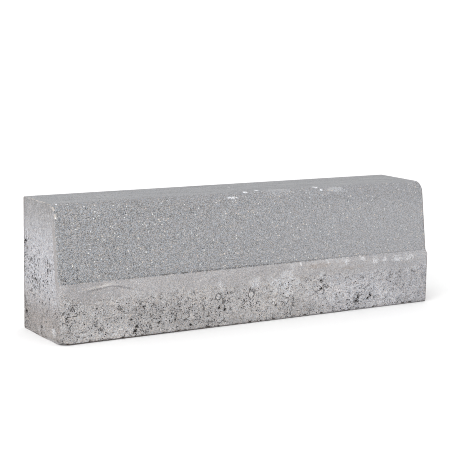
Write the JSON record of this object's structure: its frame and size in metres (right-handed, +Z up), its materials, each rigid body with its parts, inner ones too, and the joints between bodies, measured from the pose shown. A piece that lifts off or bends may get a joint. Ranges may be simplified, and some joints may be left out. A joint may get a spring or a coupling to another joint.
{
  "type": "concrete kerb stone",
  "caption": "Precast concrete road kerb: an upright stone with a coarse plinth, a sloping ledge, a smoother battered face and a rounded crown, laid end to end along a road edge.",
  "frame": {"origin": "centre of the bed, on the level floor that the stone stands on", "axes": "+X along the stone, -Y out of the battered face towards the road, +Y out of the back towards the footway, +Z up"},
  "size_m": [1, 0.2, 0.3],
  "materials": {
    "kerb_concrete": "pressed concrete, fine grained on face, crown and top, coarse and pitted on the plinth"
  },
  "bodies": {
    "root": {"kerb_stone": "kerb_concrete"}
  },
  "joints": []
}
